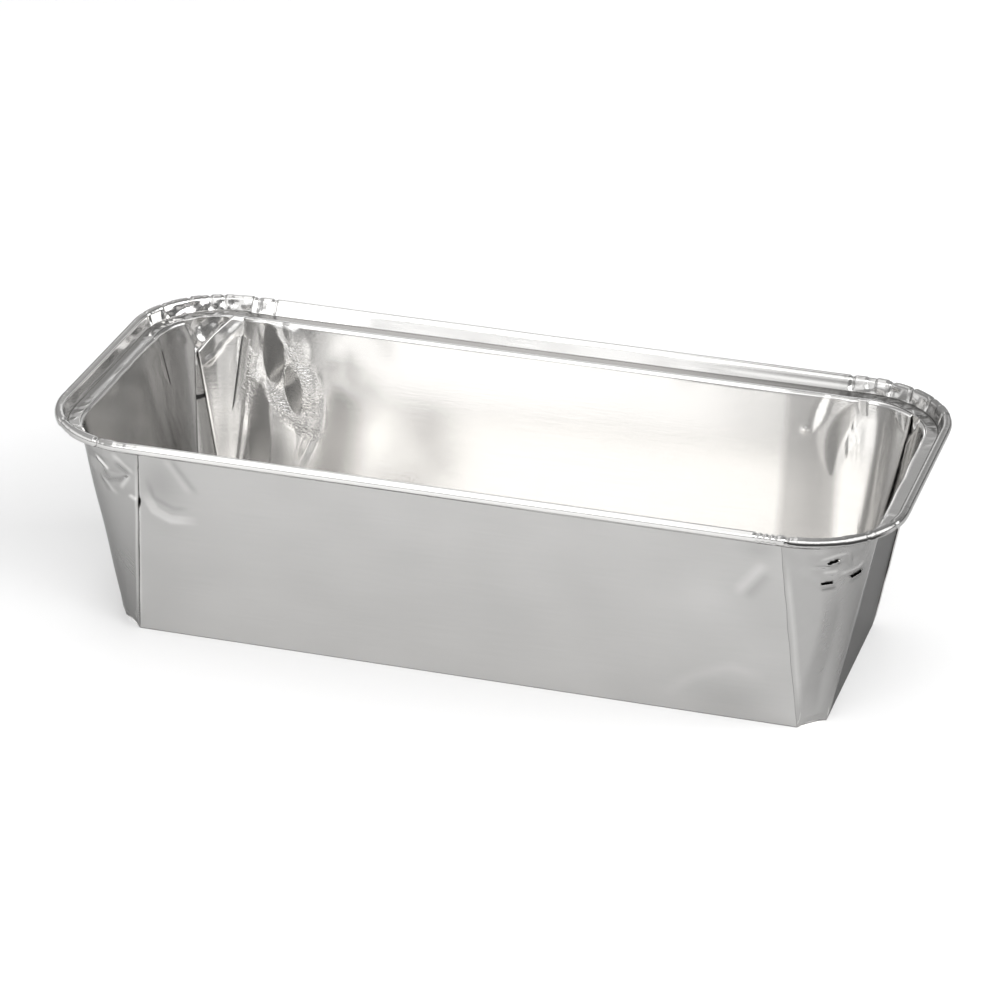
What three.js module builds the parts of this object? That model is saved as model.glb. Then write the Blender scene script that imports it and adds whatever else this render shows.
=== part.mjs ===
// A foil loaf tray: one sheet of aluminium foil, folded up round a flat base, box pleated at its four
// corners and finished with a flat ledge and a curled rim. Every panel and ply of the sheet is a solid of
// its own. Millimetres, +Z up, with the middle of the base's underside at the origin.
import * as THREE from "three";
import { LoftGeometry } from "three/addons/geometries/LoftGeometry.js";

// Driving dimensions of the tray.
const RIM_LENGTH = 240; // over the curl, along X
const RIM_WIDTH = 111; // over the curl, along Y
const HEIGHT = 65; // from the base's underside to the top of the curl
const RIM_CORNER = 28; // outer radius of the rim's corners, seen from above
const BASE_LENGTH = 202; // inside the fold lines
const BASE_WIDTH = 73.4;
const BASE_CHAMFER = 6.6; // how much of both sides a base corner's fold line cuts off

// The sheet.
const FOIL = 0.12; // gauge
const PLY_GAP = 0.3; // air that spring-back leaves between folded plies
const CREASE_GAP = 0.03; // clearance between two panels that meet at a crease

// The rim's section: a ledge, an upstand and a bead that curls outward.
const LEDGE_WIDTH = 4.6;
const LEDGE_DROP = 4.4; // from the top of the curl down to the ledge
const UPSTAND_LEAN = 0.4; // how far the upstand leans outward on its way up
const BEAD_RADIUS = 1.45;
const CURL_SWEEP = THREE.MathUtils.degToRad(310);
const CRIMPS = 6; // pinches that gather the bead round each corner
const CRIMP_DEPTH = 0.14;

// The box pleats: each corner panel is folded under on both sides into a tapering two-ply pleat.
const PLEAT_REACH = 2.2; // how far a pleat's fold passes the rounded corner, at the mouth
const PLEAT_START = 3; // height at which the plies part
const PLEAT_TAPER = 0.3; // width that a pleat gains with each millimetre of height
const PLEATS_MEET = 50; // height at which the two pleats of a corner close up
const SLIT = 0.3; // gap that is left between them above that height
const FOLD_RETURN = 0.6; // how far the outer fold turns back onto the outside

// Steps that the round stretches are cut into.
const CORNER_STEPS = 10;
const PANEL_STEPS = 16;
const PANEL_LEVELS = 14; // above the height at which the plies part
const PLY_STEPS = 5;
const PLEAT_LEVELS = 6; // below the height at which the pleats meet
const FOLD_STEPS = 4;
const CURL_STEPS = 7; // to each half of the bead

// Sizes that follow from the driving dimensions.
const RIM_REACH = LEDGE_WIDTH + UPSTAND_LEAN + 2 * BEAD_RADIUS;
const LEDGE_Z = HEIGHT - LEDGE_DROP;
const WALL_TOP = LEDGE_Z - CREASE_GAP;
const MOUTH_CORNER = RIM_CORNER - RIM_REACH;
const BASE_X = BASE_LENGTH / 2;
const BASE_Y = BASE_WIDTH / 2;
const MOUTH_X = RIM_LENGTH / 2 - RIM_REACH;
const MOUTH_Y = RIM_WIDTH / 2 - RIM_REACH;
const FOLD_RADIUS = (FOIL + PLY_GAP) / 2;
const QUARTER_TURN = Math.PI / 2;

const foilFinish = { color: 0xc9c9c7, roughness: 0.24, metalness: 1 };

const vec2 = (x, y) => new THREE.Vector2(x, y);

function piece(name, geometry) {
  const mesh = new THREE.Mesh(geometry, new THREE.MeshStandardMaterial(foilFinish));
  mesh.name = name;
  return mesh;
}

// The outline of a ply that follows a centre line: its two faces stand half the gauge off the line.
function ply(line) {
  const face = (side) =>
    line.map((point, i) => {
      const before = line[Math.max(i - 1, 0)];
      const after = line[Math.min(i + 1, line.length - 1)];
      const run = after.clone().sub(before).setLength((side * FOIL) / 2);
      return vec2(point.x + run.y, point.y - run.x);
    });
  return [...face(1), ...face(-1).reverse()];
}

function loft(sections) {
  return new LoftGeometry(sections, { capStart: true, capEnd: true });
}

// The base is an octagon: its four short sides are the fold lines of the corner panels.
function basePanel() {
  const x = BASE_X - CREASE_GAP;
  const y = BASE_Y - CREASE_GAP;
  const outline = new THREE.Shape();
  outline.moveTo(x - BASE_CHAMFER, -y);
  outline.lineTo(x, BASE_CHAMFER - y);
  outline.lineTo(x, y - BASE_CHAMFER);
  outline.lineTo(x - BASE_CHAMFER, y);
  outline.lineTo(BASE_CHAMFER - x, y);
  outline.lineTo(-x, y - BASE_CHAMFER);
  outline.lineTo(-x, BASE_CHAMFER - y);
  outline.lineTo(BASE_CHAMFER - x, -y);
  const plate = new THREE.ExtrudeGeometry(outline, { depth: FOIL, bevelEnabled: false });
  return piece("base_panel", plate);
}

// A side of the tray, laid out as the back: half its length and its distance from the middle, at the
// base and at the mouth. The flat wall ends at the pleats, and the rim runs on to the rounded corners.
function sideSizes(baseAlong, baseOut, mouthAlong, mouthOut) {
  return {
    baseHalf: baseAlong - BASE_CHAMFER,
    baseOut,
    wallHalf: mouthAlong - MOUTH_CORNER - PLEAT_REACH,
    rimHalf: mouthAlong - MOUTH_CORNER,
    mouthOut,
  };
}

// A flat wall, flared from its fold line at the base up to the ledge.
function flatWall(name, side) {
  const section = (half, out, height) => {
    const reach = half - CREASE_GAP;
    const line = [vec2(-reach, out + FOIL / 2), vec2(reach, out + FOIL / 2)];
    return ply(line).map((point) => new THREE.Vector3(point.x, point.y, height));
  };
  const foot = section(side.baseHalf, side.baseOut, 0);
  const top = section(side.wallHalf, side.mouthOut, WALL_TOP);
  return piece(name, loft([foot, top]));
}

// The ledge's centre line, from the mouth outward, and the upstand's with the bead at its top.
// Across is the distance outward from the mouth, and up is the height.
function ledgeLine() {
  const height = LEDGE_Z + FOIL / 2;
  return [vec2(0, height), vec2(LEDGE_WIDTH, height)];
}

function curlLine(pinch) {
  const across = LEDGE_WIDTH + UPSTAND_LEAN + BEAD_RADIUS;
  const up = HEIGHT - BEAD_RADIUS;
  const radius = BEAD_RADIUS - FOIL / 2 - pinch;
  const line = new THREE.Path();
  line.moveTo(LEDGE_WIDTH + CREASE_GAP + FOIL / 2, LEDGE_Z);
  line.lineTo(across - radius, up);
  line.absarc(across, up, radius, Math.PI, Math.PI - CURL_SWEEP, true);
  return line.getPoints(CURL_STEPS);
}

// A straight run of the rim along one side.
function rimRun(name, line, side) {
  const outline = ply(line);
  const section = (along) =>
    outline.map(({ x, y }) => new THREE.Vector3(along, side.mouthOut + x, y));
  const reach = side.rimHalf - CREASE_GAP;
  return piece(name, loft([section(-reach), section(reach)]));
}

// A quarter turn of the rim. Every second section of the curl is pinched, which makes the crimps.
function rimTurn(name, lineAt, steps) {
  const margin = CREASE_GAP / MOUTH_CORNER;
  const sections = [];
  for (let i = 0; i <= steps; i++) {
    const angle = THREE.MathUtils.lerp(QUARTER_TURN - margin, margin, i / steps);
    const section = ply(lineAt(i)).map(({ x, y }) => {
      const arm = vec2(Math.cos(angle), Math.sin(angle)).multiplyScalar(MOUTH_CORNER + x);
      return new THREE.Vector3(MOUTH_X - MOUTH_CORNER + arm.x, MOUTH_Y - MOUTH_CORNER + arm.y, y);
    });
    sections.push(section);
  }
  return piece(name, loft(sections));
}

// The corner between the back and the right side: the base's short side below and the rounded mouth
// above, both drawn from the back's fold line to the end's.
const cornerFoot = new THREE.LineCurve(
  vec2(BASE_X - BASE_CHAMFER, BASE_Y),
  vec2(BASE_X, BASE_Y - BASE_CHAMFER),
);
const cornerMouth = new THREE.Path();
cornerMouth.moveTo(MOUTH_X - MOUTH_CORNER - PLEAT_REACH, MOUTH_Y);
cornerMouth.lineTo(MOUTH_X - MOUTH_CORNER, MOUTH_Y);
cornerMouth.absarc(MOUTH_X - MOUTH_CORNER, MOUTH_Y - MOUTH_CORNER, MOUTH_CORNER, QUARTER_TURN, 0, true);
cornerMouth.lineTo(MOUTH_X, MOUTH_Y - MOUTH_CORNER - PLEAT_REACH);

// The corner's level section at one height, ruled between those two lines.
class CornerSection extends THREE.Curve {
  constructor(height) {
    super();
    this.height = height;
    this.rise = height / LEDGE_Z;
  }

  getPoint(share) {
    return cornerFoot.getPoint(share).lerp(cornerMouth.getPoint(share), this.rise);
  }

  // Lays a flat outline on the section: x is the distance round the corner, y the distance outward.
  lay(outline) {
    const length = this.getLength();
    return outline.map(({ x, y }) => {
      const at = this.getPointAt(x / length);
      const along = this.getTangentAt(x / length);
      return new THREE.Vector3(at.x - along.y * y, at.y + along.x * y, this.height);
    });
  }
}

// The points between two ends of a straight stretch, without the ends.
function between(start, end) {
  const points = [];
  for (let i = 1; i < PLY_STEPS; i++) {
    points.push(start.clone().lerp(end, i / PLY_STEPS));
  }
  return points;
}

function fold(x, y, clockwise) {
  const bend = new THREE.EllipseCurve(x, y, FOLD_RADIUS, FOLD_RADIUS, -QUARTER_TURN, QUARTER_TURN, clockwise);
  return bend.getPoints(FOLD_STEPS);
}

// A pleat's centre line at one width, folded like a Z: the inner ply runs from the wall to the slit,
// the hidden ply comes back behind it, and the outer fold turns onto the outside.
function pleatLine(width) {
  const inner = FOIL / 2;
  const start = vec2(CREASE_GAP, inner);
  const slitFold = fold(width - FOLD_RADIUS - FOIL / 2, inner + FOLD_RADIUS, false);
  const outerFold = fold(CREASE_GAP + FOLD_RADIUS + FOIL / 2, inner + 3 * FOLD_RADIUS, true);
  const end = vec2(FOLD_RETURN, inner + 4 * FOLD_RADIUS);
  return [
    start,
    ...between(start, slitFold[0]),
    ...slitFold,
    ...between(slitFold.at(-1), outerFold[0]),
    ...outerFold,
    end,
  ];
}

// One pleat of a corner. The pleat on the end's side is the long side's, laid the other way round.
function pleat(name, onEnd) {
  const heights = [WALL_TOP];
  for (let i = 0; i <= PLEAT_LEVELS; i++) {
    heights.unshift(THREE.MathUtils.lerp(PLEATS_MEET, PLEAT_START, i / PLEAT_LEVELS));
  }
  const sections = heights.map((height) => {
    const corner = new CornerSection(height);
    const length = corner.getLength();
    const width = Math.min(PLEAT_TAPER * height, (length - SLIT) / 2);
    const outline = ply(pleatLine(width));
    if (onEnd) {
      return corner.lay(outline.map(({ x, y }) => vec2(length - x, y)).reverse());
    }
    return corner.lay(outline);
  });
  return piece(name, loft(sections));
}

// The corner panel wraps the two pleats on the outside. At its foot it comes in to the base's fold line.
function cornerPanel(name) {
  const proud = 4 * FOLD_RADIUS;
  const heights = [0];
  for (let i = 0; i <= PANEL_LEVELS; i++) {
    heights.push(THREE.MathUtils.lerp(PLEAT_START, WALL_TOP, i / PANEL_LEVELS));
  }
  const sections = heights.map((height) => {
    const corner = new CornerSection(height);
    const length = corner.getLength();
    const parted = Math.min(height / PLEAT_START, 1);
    const edge = CREASE_GAP + FOLD_RETURN * parted;
    const out = FOIL / 2 + proud * parted;
    const line = [];
    for (let i = 0; i <= PANEL_STEPS; i++) {
      line.push(vec2(THREE.MathUtils.lerp(edge, length - edge, i / PANEL_STEPS), out));
    }
    return corner.lay(ply(line));
  });
  return piece(name, loft(sections));
}

const tray = new THREE.Group();
tray.add(basePanel());

const longSide = sideSizes(BASE_X, BASE_Y, MOUTH_X, MOUTH_Y);
const endSide = sideSizes(BASE_Y, BASE_X, MOUTH_Y, MOUTH_X);
const sides = [
  { name: "back", wall: "back_wall", size: longSide, turn: 0 },
  { name: "left", wall: "left_end_wall", size: endSide, turn: QUARTER_TURN },
  { name: "front", wall: "front_wall", size: longSide, turn: Math.PI },
  { name: "right", wall: "right_end_wall", size: endSide, turn: -QUARTER_TURN },
];
for (const { name, wall, size, turn } of sides) {
  const side = new THREE.Group();
  side.add(flatWall(wall, size));
  side.add(rimRun(`${name}_ledge`, ledgeLine(), size));
  side.add(rimRun(`${name}_curl`, curlLine(0), size));
  side.rotation.z = turn;
  tray.add(side);
}

for (const [long, y] of [["front", -1], ["back", 1]]) {
  for (const [end, x] of [["left", -1], ["right", 1]]) {
    const name = `${long}_${end}`;
    const corner = new THREE.Group();
    corner.add(cornerPanel(`${name}_corner_panel`));
    corner.add(pleat(`${name}_long_pleat`, false));
    corner.add(pleat(`${name}_end_pleat`, true));
    corner.add(rimTurn(`${name}_ledge_corner`, ledgeLine, CORNER_STEPS));
    corner.add(rimTurn(`${name}_curl_corner`, (i) => curlLine((i % 2) * CRIMP_DEPTH), 2 * CRIMPS));
    corner.scale.set(x, y, 1);
    tray.add(corner);
  }
}

export default tray;
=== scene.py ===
# %% [markdown]
# # A foil loaf tray
# The tray is one sheet of aluminium foil, pressed and folded into a box with a curled rim. The frame
# holds its true sizes as plain thin solids. This lesson lays real foil over them: sheets of fine mesh
# that bend, buckle and crease as the stamped foil does, and a rolled metal finish that runs with the
# sheet.

# %% The frame
import bisect
import math

import bmesh
import bpy
from mathutils import Matrix, Vector, noise


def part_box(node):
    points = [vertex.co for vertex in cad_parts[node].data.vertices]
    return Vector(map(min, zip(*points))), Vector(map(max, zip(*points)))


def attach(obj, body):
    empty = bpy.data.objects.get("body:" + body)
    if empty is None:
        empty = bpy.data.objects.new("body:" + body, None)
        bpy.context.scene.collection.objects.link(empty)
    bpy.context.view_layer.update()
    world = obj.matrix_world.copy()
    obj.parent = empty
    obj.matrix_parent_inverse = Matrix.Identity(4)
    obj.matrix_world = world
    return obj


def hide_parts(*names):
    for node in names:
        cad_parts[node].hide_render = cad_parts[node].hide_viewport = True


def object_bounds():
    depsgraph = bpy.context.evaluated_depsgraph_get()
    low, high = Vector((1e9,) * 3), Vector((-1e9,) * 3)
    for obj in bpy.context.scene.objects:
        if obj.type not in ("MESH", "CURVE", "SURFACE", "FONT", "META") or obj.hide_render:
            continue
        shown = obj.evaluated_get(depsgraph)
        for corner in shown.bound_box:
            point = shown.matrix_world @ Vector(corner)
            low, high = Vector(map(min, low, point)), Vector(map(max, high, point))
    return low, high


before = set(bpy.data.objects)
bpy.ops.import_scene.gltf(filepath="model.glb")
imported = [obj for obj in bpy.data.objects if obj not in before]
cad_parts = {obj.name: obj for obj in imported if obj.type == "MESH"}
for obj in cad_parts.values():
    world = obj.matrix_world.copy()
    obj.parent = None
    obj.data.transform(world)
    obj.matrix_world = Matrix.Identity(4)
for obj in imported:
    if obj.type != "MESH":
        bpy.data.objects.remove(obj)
cad_low, cad_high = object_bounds()
print("the frame measures", [round(1000 * side, 2) for side in cad_high - cad_low], "mm")

# %% [markdown]
# ## Sizes
# Every size comes from the frame's nodes, so the foil goes where the solids are. A box's highest corner
# tells where a panel on the back or the right ends, and the tray is the same on all four quarters.

# %% Sizes read from the nodes
MM = 0.001
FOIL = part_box("base_panel")[1].z
BASE_X, BASE_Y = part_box("base_panel")[1].xy
FOOT_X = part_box("back_wall")[1].x
FOOT_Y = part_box("right_end_wall")[1].y
MOUTH_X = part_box("right_ledge")[0].x
MOUTH_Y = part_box("back_ledge")[0].y
RIM_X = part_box("back_ledge")[1].x
RIM_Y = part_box("right_ledge")[1].y
TOP_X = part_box("back_right_long_pleat")[0].x
TOP_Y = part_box("back_right_end_pleat")[0].y
LEDGE_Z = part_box("back_ledge")[0].z
LEDGE_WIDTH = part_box("back_ledge")[1].y - MOUTH_Y
MOUTH_CORNER = MOUTH_X - RIM_X
mouth = [round(size / MM, 2) for size in (MOUTH_X, MOUTH_Y, MOUTH_CORNER)]
print("the mouth's half length, half width and corner radius are", mouth, "mm")

# %% [markdown]
# ## The corner as a ruled surface
# A corner starts at the base as a short straight fold and ends at the mouth as a quarter of a circle.
# Straight lines between the two give the surface that the foil takes. A level of it is a curve, and a
# point on the sheet is known by its distance along that curve and its height.

# %% Levels of a corner
LEAD = RIM_X - TOP_X
MOUTH_RUN = 2 * LEAD + MOUTH_CORNER * math.pi / 2
LEVEL_STEPS = 160


def corner_foot(share):
    return Vector((FOOT_X, BASE_Y)).lerp(Vector((BASE_X, FOOT_Y)), share)


def corner_mouth(share):
    run = share * MOUTH_RUN
    if run < LEAD:
        return Vector((TOP_X + run, MOUTH_Y))
    turn = (run - LEAD) / MOUTH_CORNER
    if turn < math.pi / 2:
        return Vector((RIM_X + MOUTH_CORNER * math.sin(turn), RIM_Y + MOUTH_CORNER * math.cos(turn)))
    return Vector((MOUTH_X, RIM_Y - MOUTH_CORNER * (turn - math.pi / 2)))


class CornerLevel:
    """The corner's curve at one height, from the long wall's fold line to the end wall's."""

    def __init__(self, height):
        rise = height / LEDGE_Z
        shares = [i / LEVEL_STEPS for i in range(LEVEL_STEPS + 1)]
        self.points = [corner_foot(share).lerp(corner_mouth(share), rise) for share in shares]
        self.reach = [0]
        for before, after in zip(self.points, self.points[1:]):
            self.reach.append(self.reach[-1] + (after - before).length)
        self.length = self.reach[-1]

    def along(self, distance):
        i = min(max(bisect.bisect(self.reach, distance) - 1, 0), LEVEL_STEPS - 1)
        share = (distance - self.reach[i]) / (self.reach[i + 1] - self.reach[i])
        return self.points[i].lerp(self.points[i + 1], share)

    def at(self, distance, outward=0):
        run = self.along(distance + MM / 2) - self.along(distance - MM / 2)
        return self.along(distance) + Vector((-run.y, run.x)).normalized() * outward


print("a corner is", [round(CornerLevel(z).length / MM, 1) for z in (0, LEDGE_Z / 2, LEDGE_Z)], "mm round")

# %% [markdown]
# ## Ways that foil gives
# Foil hardly stretches, so it gives in a few ways of its own. Each could be sculpted by hand, but a
# formula is easier to read and to move. So each way is a small function of a place on a wall, in
# millimetres, and returns how far the foil is pushed outward there. The same functions later say where the
# foil is worn and where shade and highlights are painted on it.

# %% [markdown]
# ### Buckles
# A wall that is pressed with a thumb snaps into a leaf-shaped buckle with sharp edges. Its outline has
# two points and swells between them, along a straight line or a bow.

# %% Buckles
OUTSIDE = 9
FULLNESS = 0.6
DROP = 0.7
BLADE_EDGE = 4


def pointed(foot, tip, half_width, bow):
    """An outline with two points: where a place lies across it, with its edges at 1, and its swell."""
    foot, tip = Vector(foot), Vector(tip)
    span = (tip - foot).length
    run = (tip - foot) / span

    def measure(along, height):
        x, y = along - foot.x, height - foot.y
        share = (x * run.x + y * run.y) / span
        if not 0 < share < 1:
            return OUTSIDE, 0
        swell = math.sin(math.pi * share)
        across = x * run.y - y * run.x - 4 * bow * share * (1 - share)
        return across / (half_width * swell**FULLNESS), swell

    return measure


def leaf(foot, tip, half_width, push, band=1.0, bow=0):
    """A buckle that drops from one edge of its outline to the other, steeply at first, and then fades."""
    measure = pointed(foot, tip, half_width, bow)

    def shape(along, height):
        off, swell = measure(along, height)
        if abs(off) < 1:
            return push * (1 - 2 * ((off + 1) / 2) ** DROP) * swell
        return push * math.copysign(max(0, 1 - (abs(off) - 1) / band), -off) * swell

    return shape


def blade(foot, tip, half_width, push, bow=0, fade=0):
    """A patch with a leaf's outline, which can fade from one edge to the other."""
    measure = pointed(foot, tip, half_width, bow)

    def shape(along, height):
        off = measure(along, height)[0]
        return push * min(1, BLADE_EDGE * max(0, 1 - abs(off))) * (1 - fade * (off + 1) / 2)

    return shape


thumb = leaf((0, 0), (0, 20), 3, 0.5)
print("across a leaf the foil is pushed out", [round(thumb(along, 10), 2) for along in (-3, 0, 3)], "mm")

# %% [markdown]
# ### Creases and hollows
# A crease stays where foil was folded and pushed flat again: a thin ridge along a line that fades at both
# ends. A hollow is the soft bowl round a knock, and a bell curve is enough for it.

# %% Creases and hollows
CREASE_ENDS = 5


def crease(line, half_width, push, ramp=None):
    """A straight ridge, or a flat-topped one whose sides are as wide as the ramp."""
    line = [Vector(point) for point in line]
    steepness = half_width / (ramp or half_width)

    def shape(along, height):
        here = Vector((along, height))
        most = 0
        for i, (start, end) in enumerate(zip(line, line[1:])):
            run = end - start
            share = min(max((here - start).dot(run) / run.length_squared, 0), 1)
            off = (here - start - run * share).length / half_width
            if off < 1:
                place = (i + share) / (len(line) - 1)
                ends = min(1, CREASE_ENDS * place, CREASE_ENDS * (1 - place))
                most = max(most, min(1, (1 - off) * steepness) * ends)
        return push * most

    return shape


def hollow(centre, reach_along, reach_up, push):
    def shape(along, height):
        x, y = (along - centre[0]) / reach_along, (height - centre[1]) / reach_up
        return push * math.exp(-x * x - y * y)

    return shape


ridge = crease([(0, 0), (10, 0)], 2, 0.2)
print("half way down its side a crease of 0.2 mm stands", round(ridge(5, 1), 2), "mm out")

# %% [markdown]
# ### Crumples and slits
# Gathered foil crumples into flat facets. Three zigzag waves that cross at different slants add up to
# such facets, and a little noise bends them. Plain noise is the same in every session. Where the foil is
# pushed too far it splits, and the lip below the slit bulges.

# %% Crumples and slits
FACET_WAVES = 3
FACET_TURN = 1.13
FACET_GROWTH = 0.35
FACET_BEND = 0.7
SLIT_ENDS = 4


def crumple(centre, reach_along, reach_up, size, push, seed):
    turns = [seed * 1.7 + k * FACET_TURN for k in range(FACET_WAVES)]

    def shape(along, height):
        x, y = (along - centre[0]) / reach_along, (height - centre[1]) / reach_up
        fade = 1 - x * x - y * y
        if fade <= 0:
            return 0
        total = 0
        for k, turn in enumerate(turns):
            bend = FACET_BEND * noise.noise(Vector((along / size / 2, height / size / 2, seed + 5.3 * k)))
            slanted = along * math.cos(turn) + height * math.sin(turn)
            wave = slanted / (size * (1 + FACET_GROWTH * k)) + bend
            total += abs(wave % 2 - 1) - 0.5
        return push * total * fade * (2 - fade)

    return shape


def slit(start, end, reach_down, push):
    start, end = Vector(start), Vector(end)

    def shape(along, height):
        share = (along - start.x) / (end.x - start.x)
        below = start.y + (end.y - start.y) * share - height
        if not (0 < share < 1 and 0 < below < reach_down):
            return 0
        return push * (1 - below / reach_down) * min(1, SLIT_ENDS * share, SLIT_ENDS * (1 - share))

    return shape


lip = slit((0, 0), (4, 0), 2, 0.7)
print("half a millimetre below a slit its lip bulges", round(lip(2, -0.5), 2), "mm")

# %% [markdown]
# ### Even and swaying foil
# The last two are the simplest: the same push everywhere, and a broad sway, because no rolled sheet is
# quite flat. One function then adds up all that happens at a place.


# %% Even and swaying foil
def even(push):
    def shape(along, height):
        return push

    return shape


def sway(size_along, size_up, push, seed):
    def shape(along, height):
        return push * noise.noise(Vector((along / size_along, height / size_up, seed)))

    return shape


def pushed(dents, along, height):
    return MM * sum(dent(along / MM, height / MM) for dent in dents)


print("dents of 0.1 and 0.2 mm add up to", round(pushed([even(0.1), even(0.2)], 0, 0) / MM, 2), "mm")

# %% [markdown]
# ## A sheet of foil
# Every piece of foil starts as one flat grid. Each point of the grid is then moved to its place on the
# tray, and keeps its place in the flat blank as an attribute, so that the rolling marks follow the sheet
# round every fold. The attribute's third number holds wear and painted shade: 0 is bright, 1 is dull and
# darkened, and below 0 the foil is only pitted. Faces that a slit has pulled long are taken out. Extruding
# wall by wall would break the grid at every fold. The gauge comes from a Solidify modifier, on the
# outside.

# %% Making a sheet
MERGE = 0.01 * MM
INSIDE = Vector((0, 0, 0.9 * LEDGE_Z))
pieces = []


def foil_sheet(name, columns, rows, place, nodes, closed=False, longest=None):
    bm = bmesh.new()
    bmesh.ops.create_grid(bm, x_segments=columns, y_segments=rows, size=0.5)
    blank = bm.verts.layers.float_vector.new("blank")
    for vert in bm.verts:
        # The third value that a place gives is wear and painted shade.
        spot, flat, wear_and_shade = place(round((vert.co.x + 0.5) * columns), round((vert.co.y + 0.5) * rows))
        vert.co = spot
        vert[blank] = (flat[0], flat[1], wear_and_shade)
    if closed:
        bmesh.ops.remove_doubles(bm, verts=bm.verts, dist=MERGE)
    if longest:
        torn = [face for face in bm.faces if max(edge.calc_length() for edge in face.edges) > longest]
        bmesh.ops.delete(bm, geom=torn, context="FACES")
    bm.normal_update()
    facing = sum((f.calc_center_median() - INSIDE).dot(f.normal) * f.calc_area() for f in bm.faces)
    if facing < 0:
        bmesh.ops.reverse_faces(bm, faces=bm.faces)
    for face in bm.faces:
        face.smooth = True
    mesh = bpy.data.meshes.new(name)
    bm.to_mesh(mesh)
    bm.free()
    piece = bpy.data.objects.new(name, mesh)
    bpy.context.scene.collection.objects.link(piece)
    gauge = piece.modifiers.new("gauge", "SOLIDIFY")
    gauge.thickness = FOIL
    gauge.offset = 1
    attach(piece, "root")
    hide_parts(*nodes)
    pieces.append(piece)
    print(name, len(mesh.vertices), "points")
    return piece


# %% [markdown]
# ## The base
# The base is flat, with its corners cut off by the folds of the corner panels. Pressing leaves it a
# little uneven, so a broad sway is enough. A flat face would mirror the walls too cleanly.

# %% Base
base_dents = [sway(45, 30, 0.12, 3.1), sway(16, 12, 0.02, 8.4)]
BASE_COLUMNS, BASE_ROWS = 150, 60
BASE_EDGE, BASE_LIFT = 6 * MM, 0.2 * MM


def base_place(column, row):
    y = BASE_Y * (2 * row / BASE_ROWS - 1)
    cut = max(0, abs(y) - FOOT_Y)
    x = (BASE_X - cut) * (2 * column / BASE_COLUMNS - 1)
    edge = min(1, (BASE_X - cut - abs(x)) / BASE_EDGE, (BASE_Y - abs(y)) / BASE_EDGE)
    lift = FOIL + max(0, edge) * (BASE_LIFT + pushed(base_dents, x, y))
    return Vector((x, y, lift)), (x, y), 0


foil_sheet("base_foil", BASE_COLUMNS, BASE_ROWS, base_place, ["base_panel"])

# %% [markdown]
# ## The walls and their pleats
# A wall runs on past its fold lines into the corners, where it forms the inner ply of a pleat. The ply
# ends in a fold at the slit in mid corner, and below the rim it draws back from the slit, because the
# ledge pulls on it. At the top the wall bends outward into the ledge. Separate sheets would be simpler,
# but the mirror image would break at every fold. So one sheet holds the wall, its two inner plies, their
# rolled edges and the bend.

# %% The mouth's wave and the inner plies
WAVE_LEAST, WAVE_MORE = 0.08 * MM, 0.37 * MM
WAVE_FROM, WAVE_RAMP, WAVE_LENGTH = 75 * MM, 20 * MM, 9 * MM
PLEAT_TAPER = 0.3
SLIT = 0.3 * MM
HEM = 0.38 * MM


def mouth_wave(x, y):
    """The mouth's edge is never quite straight, and wavier near its ends. Wall and ledge share it."""
    size = WAVE_LEAST + WAVE_MORE * min(1, max(0, abs(x) - WAVE_FROM) / WAVE_RAMP)
    return size * noise.noise(Vector((x / WAVE_LENGTH, y / WAVE_LENGTH, 3.3)))


def pleat_width(level, height, drawn_from, drawn):
    """Width of an inner ply: tapered at the foot, half the corner above, drawn back below the rim."""
    back = drawn * MM * max(0, (height / MM - drawn_from) / (LEDGE_Z / MM - drawn_from))
    return max(0, min(PLEAT_TAPER * height, (level.length - SLIT) / 2) - HEM - back)


half_way = LEDGE_Z / 2
ply = pleat_width(CornerLevel(half_way), half_way, 52, 5)
print("half way up an inner ply is", round(ply / MM, 1), "mm wide")

# %% [markdown]
# ### Rows and columns
# The grid is finest where the foil is busiest: near the rim, towards the corners and round the rolled
# edges. An even grid would need far more points.

# %% Rows and columns of a wall
WALL_ROWS, LONG_COLUMNS, END_COLUMNS = 150, 300, 150
BEND, BEND_ROWS, BEND_SWEEP = 0.9 * MM, 6, math.radians(84)
HEM_COLUMNS, HEM_SWEEP = 5, math.radians(170)
ROW_CROWD = 0.3
CALM, CALM_COLUMNS = 0.5, 0.26


def wall_climb(row):
    """A row's height, and how far it has turned outward into the ledge. Rows are closer near the top."""
    straight = WALL_ROWS - BEND_ROWS
    climb = min(row / straight, 1)
    climb *= 1 + ROW_CROWD - ROW_CROWD * climb
    turn = max(0, row - straight) / BEND_ROWS * BEND_SWEEP
    return climb * (LEDGE_Z - BEND) + BEND * math.sin(turn), BEND * (1 - math.cos(turn))


def wall_share(column, columns):
    """Side of the wall, share of the way from its middle to its ply's end, and turn round the hem."""
    flat = columns - 2 * HEM_COLUMNS
    share = (column - HEM_COLUMNS) / flat * 2 - 1
    turn = max(0, abs(share) - 1) * flat / (2 * HEM_COLUMNS) * HEM_SWEEP
    return math.copysign(1, share), min(abs(share), 1), turn


def along_wall(share, half, width):
    """Distance from the wall's middle. The calm middle part has fewer columns."""
    if share < CALM_COLUMNS:
        return share / CALM_COLUMNS * CALM * half
    return CALM * half + (share - CALM_COLUMNS) / (1 - CALM_COLUMNS) * ((1 - CALM) * half + width)


print("a wall's rows climb to", [round(wall_climb(row)[0] / MM, 1) for row in (50, 100, 150)], "mm")

# %% [markdown]
# ### Laying a wall
# A point goes up by its row, along by its column and outward by the sum of the dents. Near a fold line
# the foil has no room to bulge under the corner's outer ply, so the push is held back there. Long and
# short walls share one function.

# %% Laying a wall sheet
HEM_RISE, FOOT_FADE, TOP_FADE = 3 * MM, 4 * MM, 1.5 * MM
FOLD_ROOM, ROOM_SLOPE = 0.02 * MM, 0.3
WAVE_DEPTH = 5 * MM


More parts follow.
